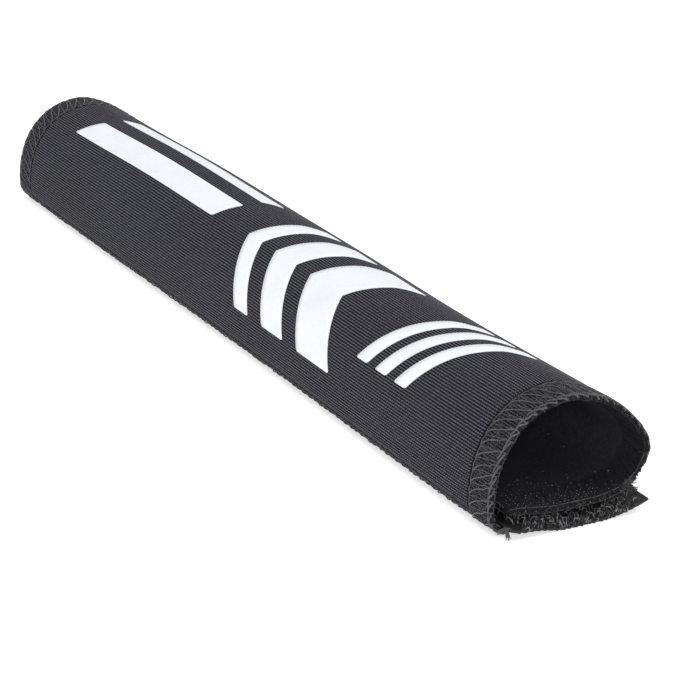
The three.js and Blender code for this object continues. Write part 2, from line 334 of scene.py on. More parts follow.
def two_faced(upper, lower, uv, middles=(), turned=False):
    """A closed skin from an upper and a lower grid of points, with rows of points between their borders.
    Both grids take the same place on the flat sheet."""
    rows, columns = upper.shape[:2]
    count = rows * columns
    rim = rim_of(rows, columns)
    uv = uv.reshape(-1, 2)
    points = [upper.reshape(-1, 3), lower.reshape(-1, 3), *middles]
    faces = [grid_faces(rows, columns, 0, turned), grid_faces(rows, columns, count, not turned)]
    between = [2 * count + k * len(rim) + np.arange(len(rim)) for k in range(len(middles))]
    chain = [rim, *between, rim + count]
    for a, b in zip(chain, chain[1:]):
        quads = np.stack([a, b, np.roll(b, -1), np.roll(a, -1)], axis=-1)
        faces.append(quads[:, ::-1] if turned else quads)
    uv = [uv, uv, *(uv[rim] for _ in middles)]
    return np.concatenate(points), np.concatenate(faces), np.concatenate(uv)


def tubes(paths, ups, radius, sides):
    """Closed tubes along paths of equally many points. An up points across its path, and radius may vary."""
    paths, ups = np.asarray(paths, float), np.asarray(ups, float)
    count, steps = paths.shape[:2]
    way = np.gradient(paths, axis=1)
    way /= np.linalg.norm(way, axis=2, keepdims=True) + 1e-12
    aside = np.cross(way, ups)
    aside /= np.linalg.norm(aside, axis=2, keepdims=True) + 1e-12
    over = np.cross(aside, way)
    angle = np.arange(sides) * 2 * math.pi / sides
    radius = np.broadcast_to(np.asarray(radius, float), (count, steps))[..., None, None]
    ring = np.cos(angle)[:, None] * over[:, :, None] + np.sin(angle)[:, None] * aside[:, :, None]
    points = paths[:, :, None] + radius * ring
    i = np.arange(steps - 1)[:, None] * sides + np.arange(sides)[None, :]
    j = np.arange(steps - 1)[:, None] * sides + (np.arange(sides)[None, :] + 1) % sides
    quads = np.stack([i, j, j + sides, i + sides], axis=-1).reshape(-1, 4)
    faces = (quads[None] + (np.arange(count) * steps * sides)[:, None, None]).reshape(-1, 4).tolist()
    for base in range(0, count * steps * sides, steps * sides):
        faces.append([base + n for n in range(sides - 1, -1, -1)])
        faces.append([base + (steps - 1) * sides + n for n in range(sides)])
    return points.reshape(-1, 3), faces


def joined(parts):
    """One list of points and one of faces, from several of each."""
    points, faces, first = [], [], 0
    for more, quads in parts:
        points.append(more)
        faces += [[first + i for i in face] for face in quads]
        first += len(more)
    return np.concatenate(points), faces


def smooth_line(knots, between):
    """A Catmull-Rom curve through the knots, with so many points from each knot to the next."""
    before = np.concatenate([2 * knots[:1] - knots[1:2], knots[:-1]])
    after = np.concatenate([knots[1:], 2 * knots[-1:] - knots[-2:-1]])
    pull = (after - before) / 2
    t = np.linspace(0, 1, between, endpoint=False)[None, :, None]
    curve = (2 * t ** 3 - 3 * t ** 2 + 1) * knots[:-1, None] + (t ** 3 - 2 * t ** 2 + t) * pull[:-1, None] \
        + (3 * t ** 2 - 2 * t ** 3) * knots[1:, None] + (t ** 3 - t ** 2) * pull[1:, None]
    return np.concatenate([curve.reshape(-1, knots.shape[1]), knots[-1:]])


# Materials

class Tree:
    """A node tree, with a short call for each kind of node that the looks use."""

    def __init__(self, node_tree):
        self.nodes, self.links = node_tree.nodes, node_tree.links

    def feed(self, socket, value):
        """Sets a socket's own value, or links another node's output to it."""
        if isinstance(value, bpy.types.NodeSocket):
            self.links.new(value, socket)
        else:
            socket.default_value = value

    def node(self, kind, output, **inputs):
        """A new node's output, with its inputs given by name."""
        node = self.nodes.new(kind)
        for name, value in inputs.items():
            self.feed(node.inputs[name.replace("_", " ")], value)
        return node.outputs[output]

    def math(self, operation, *inputs):
        """One step of arithmetic on values and outputs."""
        node = self.nodes.new("ShaderNodeMath")
        node.operation = operation
        for socket, value in zip(node.inputs, inputs):
            self.feed(socket, value)
        return node.outputs[0]

    def noise(self, scale, detail):
        """A noise fixed to the object, with so many waves to the metre."""
        place = self.node("ShaderNodeTexCoord", "Object")
        return self.node("ShaderNodeTexNoise", "Fac", Vector=place, Scale=scale, Detail=detail)

    def ramp(self, factor, *stops):
        """A colour that runs from stop to stop, each a factor and its colour."""
        node = self.nodes.new("ShaderNodeValToRGB")
        elements = node.color_ramp.elements
        while len(elements) < len(stops):
            elements.new(0.5)
        for element, (position, colour) in zip(elements, stops):
            element.position = position
            element.color = (*colour, 1)
        self.feed(node.inputs["Fac"], factor)
        return node.outputs["Color"]

    def fade(self, value, low, high, start, end):
        """From start to end as the value goes from low to high, and level outside them."""
        node = self.nodes.new("ShaderNodeMapRange")
        node.interpolation_type = "SMOOTHSTEP"
        for name, number in (("Value", value), ("From Min", low), ("From Max", high),
                             ("To Min", start), ("To Max", end)):
            self.feed(node.inputs[name], number)
        return node.outputs["Result"]

    def wave(self, place, pitch, phase=0.0):
        """A wave from 0 to 1 with its crests a pitch apart."""
        turn = self.math("MULTIPLY_ADD", place, 2 * math.pi / pitch, phase)
        return self.math("MULTIPLY_ADD", self.math("COSINE", turn), 0.5, 0.5)

    def mixed(self, first, second, share):
        """The first value with a share of the second."""
        return self.math("MULTIPLY_ADD", second, share, self.math("MULTIPLY", first, 1 - share))

    def mottled(self, tone, noise, strength):
        """The tone made lighter and darker by a noise."""
        return self.math("MULTIPLY_ADD", noise, strength, self.math("SUBTRACT", tone, strength / 2))

    def flat_place(self):
        """Distance along and round the flat sheet, in millimetres."""
        uv = self.nodes.new("ShaderNodeUVMap")
        uv.uv_map = "flat"
        parts = self.nodes.new("ShaderNodeSeparateXYZ")
        self.feed(parts.inputs["Vector"], uv.outputs["UV"])
        return tuple(self.math("MULTIPLY", parts.outputs[axis], 1 / MM) for axis in "XY")

    def finish(self, colour, height=None, strength=0.0, depth=0.0):
        """Gives the shader its colour, and a bump of so many metres."""
        shader = self.nodes["Principled BSDF"]
        self.feed(shader.inputs["Base Color"], colour)
        if height is not None:
            normal = self.node("ShaderNodeBump", "Normal", Height=height, Strength=strength, Distance=depth)
            self.feed(shader.inputs["Normal"], normal)


def new_material(name, **settings):
    """A material with the shader's own settings, and its tree."""
    material = bpy.data.materials.new(name)
    material.use_nodes = True
    tree = Tree(material.node_tree)
    for socket, value in settings.items():
        tree.nodes["Principled BSDF"].inputs[socket.replace("_", " ")].default_value = value
    return material, tree


def to_nearer_end(tree, along):
    """Distance from the sheet's nearer end."""
    return tree.math("MINIMUM", along, tree.math("SUBTRACT", SHEET_LENGTH, along))


def seam_painted_shade(tree, along):
    """Painted shade: darker in the pressed seam at each end, and darkest in the groove of its needle line.
    """
    to_end = to_nearer_end(tree, along)
    band = tree.fade(to_end, SEAM_WIDTH - 0.4, SEAM_WIDTH + 0.9, 0.68, 1.0)
    off_line = tree.math("ABSOLUTE", tree.math("SUBTRACT", to_end, SEAM_WIDTH + 0.25))
    return tree.math("MULTIPLY", band, tree.fade(off_line, 0.1, 0.45, 0.25, 1.0))


def jersey_material():
    """Ribbed black jersey: dull crests, sharp grooves darkened partly with painted shade, and small bright
    stitches along each rib.
    """
    material, tree = new_material(
        "ribbed_jersey", Roughness=0.9, Sheen_Weight=0.03, Sheen_Roughness=0.45, Specular_IOR_Level=0.12)
    along, across = tree.flat_place()
    # The rib wave darkens the grooves: partly the knit's own dark lines, partly painted shade between the
    # ridges.
    rib = tree.math("POWER", tree.wave(across, RIB_PITCH), 1.15)
    row = tree.math("FLOOR", tree.math("DIVIDE", across, RIB_PITCH))
    knit = tree.wave(along, KNIT_PITCH, tree.math("MULTIPLY", row, KNIT_SHIFT))
    tone = tree.math("MULTIPLY", rib, tree.math("MULTIPLY_ADD", knit, 0.7, 0.46))
    tone = tree.mottled(tone, tree.noise(2600, 2), 0.9)
    tone = tree.mottled(tone, tree.noise(60, 3), 0.1)
    # Painted shade over the seams at the ends.
    tone = tree.math("MULTIPLY", tone, seam_painted_shade(tree, along))
    colour = tree.ramp(tone, (0.03, (0.0022, 0.0022, 0.0034)), (0.38, (0.0200, 0.0196, 0.0270)),
                       (0.88, (0.131, 0.130, 0.160)))
    tree.finish(colour, tone, 0.6, 0.00012)
    return material


def edge_material():
    """The sheet's cut edge under its threads, near black."""
    material, tree = new_material("cut_edge", Roughness=0.95, Specular_IOR_Level=0.1)
    fleck = tree.noise(2500, 2)
    colour = tree.ramp(fleck, (0.3, (0.008, 0.008, 0.009)), (0.7, (0.020, 0.020, 0.023)))
    tree.finish(colour, fleck, 0.5, 0.0001)
    return material


def lining_material():
    """The inner face's plain black jersey, with painted shade that darkens it towards the ends."""
    material, tree = new_material("inner_jersey", Roughness=0.9, Specular_IOR_Level=0.15)
    along, _ = tree.flat_place()
    fleck = tree.noise(1800, 3)
    tone = tree.mixed(fleck, tree.noise(90, 2), 0.3)
    # Painted shade: the lining is darkened towards the ends, where more light reaches it.
    tone = tree.math("MULTIPLY", tone, tree.fade(to_nearer_end(tree, along), 0.0, 16.0, 0.5, 1.0))
    colour = tree.ramp(tone, (0.15, (0.010, 0.010, 0.013)), (0.7, (0.043, 0.043, 0.052)))
    tree.finish(colour, fleck, 0.4, 0.0001)
    return material


def thread_material(name, low, high, sheen=0.3):
    """Bulky textured thread, between two greys."""
    material, tree = new_material(
        name, Roughness=0.62, Sheen_Weight=sheen, Sheen_Roughness=0.4, Specular_IOR_Level=0.2 + sheen / 2)
    fluff = tree.noise(4200, 2)
    colour = tree.ramp(tree.mixed(fluff, tree.noise(400, 2), 0.5), (0.3, low), (0.7, high))
    tree.finish(colour, fluff, 0.5, 0.0001)
    return material


def ink_material():
    """White screen print: even, faintly ribbed by the jersey under it."""
    material, tree = new_material("white_ink", Roughness=0.5, Specular_IOR_Level=0.4)
    _, across = tree.flat_place()
    grain = tree.noise(1500, 3)
    tone = tree.mixed(grain, tree.noise(150, 2), 0.6)
    colour = tree.ramp(tone, (0.25, (0.775, 0.800, 0.840)), (0.6, (0.855, 0.882, 0.928)))
    height = tree.math("MULTIPLY_ADD", tree.wave(across, RIB_PITCH), 0.6, grain)
    tree.finish(colour, height, 0.25, 0.00006)
    return material


def hook_material():
    """Glossy black nylon, with painted highlights: a noise turns some hooks the grey of a lit filament."""
    material, tree = new_material("nylon_hooks", Roughness=0.28, Specular_IOR_Level=0.6)
    # Painted highlight: the grey stops stand for light caught on the filaments.
    colour = tree.ramp(tree.noise(900, 2), (0.50, (0.008, 0.008, 0.010)), (0.63, (0.28, 0.28, 0.29)))
    tree.finish(colour)
    return material


def tape_material():
    """Woven nylon: a small basket weave."""
    material, tree = new_material("woven_tape", Roughness=0.6, Specular_IOR_Level=0.4)
    along, across = tree.flat_place()
    weave = tree.math("MULTIPLY", tree.wave(across, WARP_PITCH), tree.wave(along, WEFT_PITCH))
    colour = tree.ramp(weave, (0.0, (0.006, 0.006, 0.007)), (1.0, (0.024, 0.024, 0.026)))
    tree.finish(colour, weave, 0.7, 0.00012)
    return material


def pile_material():
    """The loop tape's brushed pile."""
    material, tree = new_material(
        "loop_pile", Roughness=0.9, Sheen_Weight=0.4, Sheen_Roughness=0.5, Specular_IOR_Level=0.2)
    fleck = tree.noise(2200, 3)
    colour = tree.ramp(fleck, (0.3, (0.008, 0.008, 0.009)), (0.75, (0.035, 0.035, 0.037)))
    tree.finish(colour, fleck, 0.8, 0.0002)
    return material


JERSEY, LINING, EDGE = jersey_material(), lining_material(), edge_material()
THREAD = thread_material("overlock_thread", (0.028, 0.028, 0.031), (0.105, 0.105, 0.113))
# Darker copies of the overlock thread, partly darker thread and partly painted shade: one for the hook
# edge's seam and the tag, and one for the threads on the edge, on the inner face and under the lap.
SHADED_DARK_THREAD = thread_material("shaded_under_thread", (0.010, 0.010, 0.012), (0.040, 0.040, 0.045), 0.1)
# Pale thread: the lint's own colour, and a painted highlight on the inner knots.
LINT_AND_KNOT_HIGHLIGHTS = thread_material("lint_and_knot_highlights", (0.10, 0.10, 0.105), (0.30, 0.30, 0.31))
SHADED_INNER_THREAD = thread_material("shaded_inner_thread", (0.012, 0.012, 0.014), (0.026, 0.026, 0.031), 0.0)
INK, HOOKS, TAPE, PILE = ink_material(), hook_material(), tape_material(), pile_material()


def dressed(obj, slot, *materials, nodes=()):
    """Gives a piece its materials and its body, and hides the solids that it stands for. Its slot is not
    used.
    """
    for material in materials:
        obj.data.materials.append(material)
    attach(obj, "root")
    if nodes:
        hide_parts(*nodes)
    return obj


# The neoprene sheet

def outer_press(edge):
    """How deep the seam presses in the outer face, at a distance from the sheet's edge."""
    return np.interp(edge, PRESS_AT, OUTER_PRESS)


def inner_press(edge):
    """How deep the seam presses in the inner face, at a distance from the sheet's edge."""
    return np.interp(edge, PRESS_AT, INNER_PRESS)


def edge_distance(x, s):
    """Distance to the sheet's edge, counted as on the wide seam of its ends."""
    ends = np.minimum(x, SHEET_LENGTH - x)
    return np.minimum(ends, np.minimum(s / HOOK_SEAM_SHARE, (GIRTH - s) / FLAP_SEAM_SHARE))


def stations():
    """Places along the sheet, closer together over the seams at its ends."""
    seam = np.concatenate([np.arange(0, 6.1, 0.75), [6.4, 6.75, 7.05, 7.4, 7.9, 8.6, 9.5]])
    middle = np.linspace(12, SHEET_LENGTH - 12, 30)
    return np.concatenate([seam, middle, (SHEET_LENGTH - seam)[::-1]])


def pucker(x, s):
    """The seams at the ends draw the sheet in a little at each stitch."""
    ends = np.clip(1 - np.minimum(x, SHEET_LENGTH - x) / PUCKER_REACH, 0, 1)
    return PUCKER_DEPTH * ends * np.cos(2 * math.pi * s / STITCH)


def way_out(place, last):
    """-1 at the sheet's first edge, 1 at its last one, and 0 between them."""
    return np.where(place < 1e-6, -1, np.where(place > last - 1e-6, 1, 0))


def neoprene_sheet():
    """The ribbed sheet in one closed skin, pressed under its seams and rounded at its edges."""
    ribs = int(GIRTH / RIB_PITCH)
    s = np.linspace(0, ribs * RIB_PITCH, POINTS_TO_A_RIB * ribs + 1) * GIRTH / (ribs * RIB_PITCH)
    s_grid, x_grid = np.meshgrid(s, stations(), indexing="ij")
    edge = edge_distance(x_grid, s_grid)
    rib = RIB_RISE * np.cos(2 * math.pi * s_grid * ribs / GIRTH)
    upper = on_roll(x_grid, s_grid, outer_press(edge) - rib + pucker(x_grid, s_grid))
    lower = on_roll(x_grid, s_grid, SHEET_THICKNESS - inner_press(edge))
    rows, columns = s_grid.shape
    rim = rim_of(rows, columns)
    x, s = x_grid.ravel()[rim], s_grid.ravel()[rim]
    middles = [on_roll(x + bulge * way_out(x, SHEET_LENGTH), s + bulge * way_out(s, GIRTH),
                       OUTER_PRESS[0] + share * EDGE_THICKNESS)
               for share, bulge in ((0.2, 0.15), (0.5, 0.2), (0.8, 0.15))]
    uv = np.stack([x_grid, s_grid * ribs * RIB_PITCH / GIRTH], axis=-1) * MM
    obj = mesh_piece("ribbed_sheet", *two_faced(upper, lower, uv, middles))
    dressed(obj, "neoprene", JERSEY, LINING, EDGE, nodes=["neoprene_sheet"])
    quads = (rows - 1) * (columns - 1)
    index = np.ones(len(obj.data.polygons), np.int32)
    index[:quads] = 0
    index[2 * quads:] = 2
    obj.data.polygons.foreach_set("material_index", index)
    return obj


# The overlock seam

def round_the_edge(w, height):
    """Places over a seam: w counts from the needle line's side down to 0 at the edge's outer corner, then
    round the edge and on along the inner face. Gives the distance inwards and the depth at that height."""
    angle = np.clip(-w / (EDGE_THICKNESS / 2), 0, math.pi)
    radius = EDGE_THICKNESS / 2 + height
    inner = np.clip(-w - WRAP, 0, None)
    inward = np.where(w >= 0, w, inner) - np.sin(angle) * radius
    top = outer_press(np.clip(w, 0, None)) - height
    under = SHEET_THICKNESS - inner_press(inner) + height
    turn = OUTER_PRESS[0] + EDGE_THICKNESS / 2 - np.cos(angle) * radius
    return inward, np.where(w >= 0, top, np.where(w <= -WRAP, under, turn))


def seam_place(edge_name, along, inward, depth):
    """Points of one edge's seam: along the edge, inwards from it, and down into the sheet."""
    if edge_name == "near_end":
        return on_roll(inward, along, depth)
    if edge_name == "far_end":
        return on_roll(SHEET_LENGTH - inward, along, depth)
    if edge_name == "hook_edge":
        return on_roll(along, np.where(inward > 0, inward * HOOK_SEAM_SHARE, inward), depth)
    return on_roll(along, GIRTH - np.where(inward > 0, inward * FLAP_SEAM_SHARE, inward), depth)


def seam_tubes(edge_name, along, w, height, radius, sides):
    """Tubes over one edge's seam, along paths given by their places along and over it, and their heights."""
    points = seam_place(edge_name, along, *round_the_edge(w, height))
    above = seam_place(edge_name, along, *round_the_edge(w, height + 0.5))
    return tubes(points, above - points, radius, sides)


# The needle's line over a seam, and where it comes out on the inner face.
NEEDLE = SEAM_WIDTH
INNER = -WRAP - NEEDLE
# Each strand's path: stitches along the seam, place over it, and height above it in thread radii.
LOOPER = [(-0.06, NEEDLE + 0.1, -0.6), (0.10, NEEDLE - 0.12, 1.2), (0.45, NEEDLE - 0.8, 1.6),
          (0.88, NEEDLE - 2.3, 1.3), (1.22, NEEDLE - 4.3, 1.2), (1.45, 1.2, 1.3), (1.58, 0.1, 0.8),
          (1.62, -0.5, -0.4)]
RETURN = [(0.62, 0.1, 0.2), (0.50, 1.5, 0.7), (0.30, 3.6, 0.6), (0.10, 5.6, 0.6), (0.02, NEEDLE, -0.4)]
CHAIN = [(-0.2, 0.55, 0.0), (0.02, 0.42, 0.7), (0.35, 0.25, 1.2), (0.75, 0.05, 1.4), (1.1, -0.12, 1.0),
         (1.35, -0.3, 0.3), (1.45, -0.4, -0.4)]
INNER_CHAIN = [(-0.1, -WRAP, -0.2), (0.2, -WRAP - 0.1, 0.5), (0.7, -WRAP - 0.15, 0.7),
               (1.1, -WRAP - 0.05, 0.5), (1.3, -WRAP, -0.2)]
WRAPPING = [(0.0, 0.3, 0.0), (0.12, -0.25 * WRAP, 0.8), (0.3, -0.6 * WRAP, 0.9), (0.42, -WRAP, 0.7),
            (0.5, -WRAP - 0.6, 0.0)]
INNER_LOOPER = [(-0.05, INNER, -0.4), (0.2, -WRAP - 5.8, 0.9), (0.6, -WRAP - 3.6, 0.9),
                (0.85, -WRAP - 1.6, 0.9), (0.95, -WRAP, 0.6)]
NEEDLE_STITCH = [(0.02, NEEDLE - 0.2, -0.4), (0.12, NEEDLE - 0.2, 1.6), (0.5, NEEDLE - 0.15, 2.4),
                 (0.88, NEEDLE - 0.2, 1.6), (0.98, NEEDLE - 0.2, -0.4)]


def strands(edge_name, first, last, pattern, between, radius, sides, play=1.0):
    """One strand of every stitch along a stretch of an edge, with a little play in its knots. Its curve has
    so many points between them, and its tube so many sides."""
    share, w, height = np.array(pattern).T
    stitches = int((last - first - 1.2 * STITCH) / STITCH)
    start = (first + last - (stitches + 0.6) * STITCH) / 2
    along = (np.arange(stitches)[:, None] + share) * STITCH + start
    knots = np.stack(np.broadcast_arrays(along, w, height * THREAD_RADIUS), axis=-1)
    loose = rng.normal(0, 1, (stitches, 1, 3)) * STITCH_PLAY
    knots = knots + play * (loose + rng.normal(0, 1, knots.shape) * KNOT_PLAY)
    lines = np.stack([smooth_line(one, between) for one in knots])
    return seam_tubes(edge_name, lines[..., 0], lines[..., 1], lines[..., 2], radius, sides)


def lip_thread(edge_name, first, last):
    """The thin straight thread that runs along the inner corner of an edge."""
    along = np.linspace(first, last, int((last - first) / 0.4))[None]
    w = -WRAP - 0.05 + 0.03 * np.sin(along / 0.7)
    height = 0.05 + 0.02 * np.sin(along / 1.1)
    return seam_tubes(edge_name, along, w, height, LIP_THREAD_RADIUS, 5)


def overlock(edge_name, length, under_flap=None, outer_thread=THREAD, play=1.0):
    """The seam's outer threads in one piece, and those on the edge and the inner face in another, in a
    darker thread that is partly painted shade. Past the place where the edge passes under the lap, only the
    fine threads show, and the chain there takes the darker thread as painted shade under the lap."""
    last = under_flap or length
    outer = [
        strands(edge_name, 0, length, LOOPER, 4, 0.85 * THREAD_RADIUS, 6, play),
        strands(edge_name, 0, length, RETURN, 3, 0.5 * THREAD_RADIUS, 4),
        strands(edge_name, 0, length, NEEDLE_STITCH, 3, 0.85 * THREAD_RADIUS, 5, 0.4 * play),
        strands(edge_name, 0, last, CHAIN, 3, 1.25 * THREAD_RADIUS, 6),
        # The inner chain's first stretch takes the pale thread and the rest the darker copy, as painted
        # light and shade.
        strands(edge_name, 0, 0.4 * last, INNER_CHAIN, 3, 0.8 * THREAD_RADIUS, 5, 0.6),
    ]
    inner = [
        strands(edge_name, 0.4 * last, last, INNER_CHAIN, 3, 0.7 * THREAD_RADIUS, 5, 0.6),
        strands(edge_name, 0, length, WRAPPING, 3, 0.8 * THREAD_RADIUS, 5),
        strands(edge_name, 0, length, INNER_LOOPER, 3, 0.5 * THREAD_RADIUS, 4),
    ]
    if under_flap:
        # The lip thread on the inner corner takes the pale outer thread: a real thread, with a painted
        # highlight in its colour along the lip.
        outer.append(lip_thread(edge_name, under_flap - 4, length - 0.2))
        # Past the lap, the chain takes the darker thread: painted shade under the lap.
        inner.append(strands(edge_name, under_flap, length, CHAIN, 3, THREAD_RADIUS, 5))
    pale = mesh_piece("seam_" + edge_name, *joined(outer))
    dark = mesh_piece("seam_inner_" + edge_name, *joined(inner))
    return [dressed(pale, "thread", outer_thread, nodes=["overlock_" + edge_name]),
            dressed(dark, "thread", SHADED_INNER_THREAD)]


# The tapes

def hook_tape_line():
    """The hook tape's underside: its free side's curl, the flat on the floor, the climb, and the margin that
    is sewn to the sheet's inner face. Gives the line, and how far along it the tape's free side lies."""
    curl_start = UNDER_CURVE_WIDTH - SIDE + 1.0
    angle = np.linspace(HOOK_TAPE_WIDTH / HOOK_TAPE_CURL, 0, 60)
    curl = np.stack([curl_start - HOOK_TAPE_CURL * np.sin(angle),
                     HOOK_TAPE_CURL * (1 - np.cos(angle))], axis=1)
    top = ROLL.at(-TAPE_SETBACK, SHEET_THICKNESS - INNER_PRESS[0] + TAPE_GAP)
    y = np.linspace(top[0] - TAPE_CLIMB_RUN, top[0], 30)
    climb = np.stack([y, top[1] * eased((y - y[0]) / TAPE_CLIMB_RUN)], axis=1)
    grip_s = np.linspace(0, HOOK_TAPE_GRIP, 14)
    grip = ROLL.at(grip_s, SHEET_THICKNESS - inner_press(grip_s / HOOK_SEAM_SHARE) + TAPE_GAP)
    line = Line(np.concatenate([curl, climb, grip]), TAPE_EASE)
    return line, line.length - HOOK_TAPE_WIDTH


TAPE_LINE, TAPE_TIP = hook_tape_line()


def on_tape(x, across, up):
    """Points of the hook tape: along from the near end, across from its free side, and up from its
    underside."""
    return on_line(TAPE_LINE, x, TAPE_TIP + np.asarray(across), up)


def hook_tape():
    """The hook tape's back, with a ragged cut at the near end."""
    across = np.linspace(0, HOOK_TAPE_WIDTH, 121)
    x = np.concatenate([np.linspace(-HOOK_TAPE_OVERHANG, 0, 7), np.linspace(2, SHEET_LENGTH, 90)])
    across_grid, x_grid = np.meshgrid(across, x, indexing="ij")
    ragged = 0.10 * np.sin(across / 0.2) + 0.08 * np.sin(across / 0.13) + rng.normal(0, 0.07, len(across))
    ragged *= np.clip((across - 2) / 2, 0, 1)
    x_grid = np.where(x_grid < 0.6 - HOOK_TAPE_OVERHANG, x_grid + ragged[:, None], x_grid)
    upper, lower = (on_tape(x_grid, across_grid, up) for up in (HOOK_BACK, 0.0))
    uv = np.stack([x_grid, across_grid], axis=-1) * MM
    obj = mesh_piece("hook_tape_back", *two_faced(upper, lower, uv, turned=True))
    return dressed(obj, "hook_tape", TAPE, nodes=["hook_tape"])


def hook_paths(x, across, steps, wild, outward=0.0):
    """Cane-shaped hooks: up from the tape, then over to one side and down. The free ones stand taller, and
    those at the cut edge lean outward by a share of their rise."""
    count = len(x)
    t = np.linspace(0, 1, steps)
    stem = np.clip(t / HOOK_STEM, 0, 1)
    bow = np.clip((t - HOOK_STEM) / (1 - HOOK_STEM), 0, 1) * HOOK_TURN
    height = HOOK_HEIGHT + eased((1.5 - x) / 2.5) * (FREE_HOOK_HEIGHT - HOOK_HEIGHT)
    height = (height * (1 + wild * rng.normal(0, 0.13, count)))[:, None]
    radius = HOOK_BOW * height
    rise = stem * (height - radius) + np.sin(bow) * radius
    reach = (1 - np.cos(bow)) * radius
    heading = np.where(rng.random(count) < 0.5, 0.0, math.pi) + rng.normal(0, 0.35 + 0.9 * wild, count)
    heading = heading[:, None]
    lean = rng.normal(0, 0.10 + 0.18 * wild, (2, count, 1)) * rise
    lean[0] -= outward * rise
    x_line = x[:, None] + np.cos(heading) * reach + lean[0]
    across_line = across[:, None] + np.sin(heading) * reach + lean[1]
    up = HOOK_BACK - HOOK_SINK + rise
    points = on_tape(x_line, across_line, up)
    side = on_tape(x_line - 0.5 * np.sin(heading), across_line + 0.5 * np.cos(heading), up)
    return points, side - points


def hook_field(first, last, pitch):
    """Places of hooks in staggered rows, each a little out of its row."""
    x, across = np.meshgrid(np.arange(first, last, pitch), np.arange(HOOKS_FROM, HOOKS_TO, pitch * 0.8))
    x = x + (np.arange(x.shape[0]) % 2)[:, None] * pitch / 2
    return (x + rng.normal(0, 0.12, x.shape)).ravel(), (across + rng.normal(0, 0.08, x.shape)).ravel()


def hooks():
    """Every hook of the tape: fine ones where they show at both ends, plainer ones under the flap, and a row
    that leans out over the near cut edge."""
    near, far = NEAR_HOOKS, SHEET_LENGTH - FAR_HOOKS
    parts = []
    for first, last, pitch, steps, sides, wild in (
            (0.1 - HOOK_TAPE_OVERHANG, MOUTH_HOOKS, MOUTH_PITCH, 14, 5, 1.0),
            (MOUTH_HOOKS + 0.4, near, HOOK_PITCH, 12, 5, 1.0),
            (near, far, HIDDEN_HOOK_PITCH, 7, 3, 0.4),
            (far, SHEET_LENGTH - 0.3, HOOK_PITCH, 14, 5, 1.0)):
        x, across = hook_field(first, last, pitch)
        parts.append(tubes(*hook_paths(x, across, steps, wild), HOOK_RADIUS, sides))
    across = np.arange(HOOKS_FROM + 0.4, HOOKS_TO - 0.2, CUT_HOOK_PITCH)
    across = across + rng.normal(0, 0.1, len(across))
    x = 0.25 - HOOK_TAPE_OVERHANG + rng.uniform(-0.15, 0.6, len(across))
    parts.append(tubes(*hook_paths(x, across, 12, 0.5, 0.6), HOOK_RADIUS, 5))
    return dressed(mesh_piece("hooks", *joined(parts)), "hook_tape", HOOKS)


def loop_tape():
    """The loop tape on the flap's outer face, sunk where the seam presses the flap."""
    s = np.linspace(LOOPS_FROM, LOOPS_TO, 101)
    x = np.linspace(0.1, SHEET_LENGTH - 0.1, 120)
    s_grid, x_grid = np.meshgrid(s, x, indexing="ij")
    sunk = outer_press(edge_distance(x_grid, s_grid))
    upper = on_roll(x_grid, s_grid, sunk - LOOP_BACK)
    lower = on_roll(x_grid, s_grid, sunk - LAID_OVER)
    uv = np.stack([x_grid, s_grid], axis=-1) * MM
    obj = mesh_piece("loop_tape_back", *two_faced(upper, lower, uv))
    return dressed(obj, "loop_tape", PILE, nodes=["loop_tape"])


def sewn_row(place):
    """A row of lockstitches along the sheet; place gives its points at a height over the tape."""
    starts = np.arange(3.0, SHEET_LENGTH - 3 - SEWING_STITCH, SEWING_STITCH)
    x = starts[:, None] + np.linspace(0.06, 0.94, 6) * SEWING_STITCH
    height = np.broadcast_to([-0.1, 0.06, 0.09, 0.09, 0.06, -0.1], x.shape)
    points = place(x, height)
    return tubes(points, place(x, height + 0.5) - points, SEWING_RADIUS, 5)


def sewn_rows():
    """The rows that hold the tapes: one in the hook tape's sewn margin, two in the loop tape."""
    rows = [sewn_row(lambda x, height: on_tape(x, HOOK_TAPE_WIDTH - SEWING_INSET, HOOK_BACK + height))]
    for s in (LOOPS_FROM + SEWING_INSET, LOOPS_TO - SEWING_INSET):
        sunk = float(outer_press((GIRTH - s) / FLAP_SEAM_SHARE)) - LOOP_BACK
        rows.append(sewn_row(lambda x, height, s=s, sunk=sunk: on_roll(x, s, sunk - height)))
    return dressed(mesh_piece("sewn_rows", *joined(rows)), "thread", THREAD)


# Loose ends

def tuft(place, aim, spread, count, length, radius, curl):
    """A bundle of loose fibres from one place, each bent one way, and none of them below the floor."""
    roots = np.array(place) + rng.normal(0, 0.2, (count, 3))
    directions = np.array(aim) + rng.normal(0, spread, (count, 3))
    bends = rng.normal(0, curl, (count, 3))
    roots[:, 2] = np.maximum(roots[:, 2], LOWEST_ROOT)
    directions[:, 2] = np.maximum(directions[:, 2], (LOWEST_ROOT - roots[:, 2]) / length)
    bends[:, 2] = 0.3 * np.abs(bends[:, 2])
    lengths = (length * rng.uniform(0.5, 1.0, count))[:, None, None]
    t = np.linspace(0, 1, 6)
    bent = directions[:, None] * t[:, None] + bends[:, None] * t[:, None] * t[:, None]
    paths = roots[:, None] + lengths * bent
    ups = np.broadcast_to(np.cross(directions, bends + [0.013, 0.017, 0.011])[:, None], paths.shape)
    return tubes(paths, ups, radius * (1 - 0.45 * t ** 2), 4)


